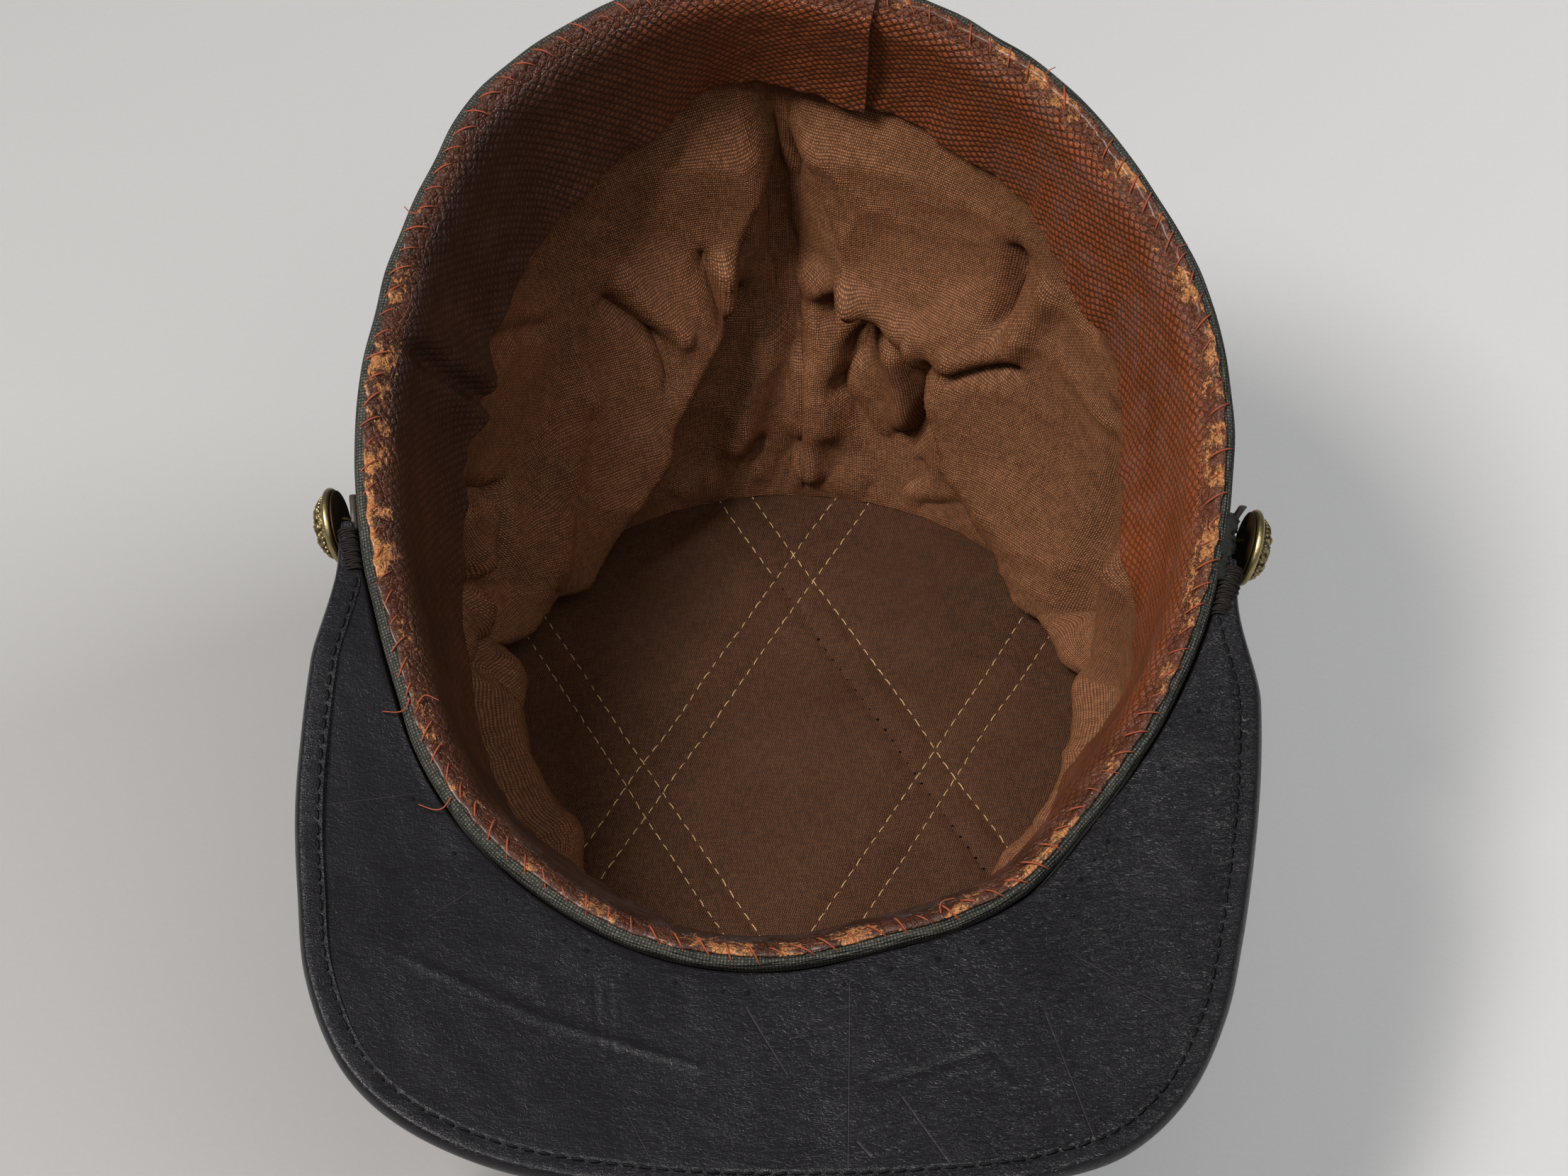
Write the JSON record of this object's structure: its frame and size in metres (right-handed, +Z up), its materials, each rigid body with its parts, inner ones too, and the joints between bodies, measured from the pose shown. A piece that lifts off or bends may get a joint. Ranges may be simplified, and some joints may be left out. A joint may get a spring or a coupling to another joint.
{
  "type": "kepi cap",
  "caption": "Wool forage cap with a flat round crown, leather visor, sweatband and chin strap, resting upside down on its crown.",
  "frame": {"origin": "middle of the crown tip's outer face, on the surface that the cap rests on", "axes": "+Z up through the head opening, -Y to the front of the visor, +X to the picture's right"},
  "size_m": [0.1825, 0.2535, 0.153],
  "materials": {
    "wool_cloth": "fulled wool, dark green grey",
    "lining_cloth": "glazed brown cotton",
    "sweat_leather": "embossed, worn",
    "visor_leather": "waxed black, satin",
    "strap_leather": "black, worn",
    "button_brass": "aged, rubbed"
  },
  "bodies": {
    "root": {"crown_tip": "wool_cloth", "side_wall": "wool_cloth", "base_band": "wool_cloth", "crown_lining": "lining_cloth", "side_lining": "lining_cloth", "sweatband": "sweat_leather", "visor": "visor_leather", "visor_binding": "visor_leather", "chin_strap": "strap_leather", "button_face_left": "button_brass", "button_back_left": "button_brass", "button_shank_left": "button_brass", "button_face_right": "button_brass", "button_back_right": "button_brass", "button_shank_right": "button_brass"}
  },
  "joints": []
}
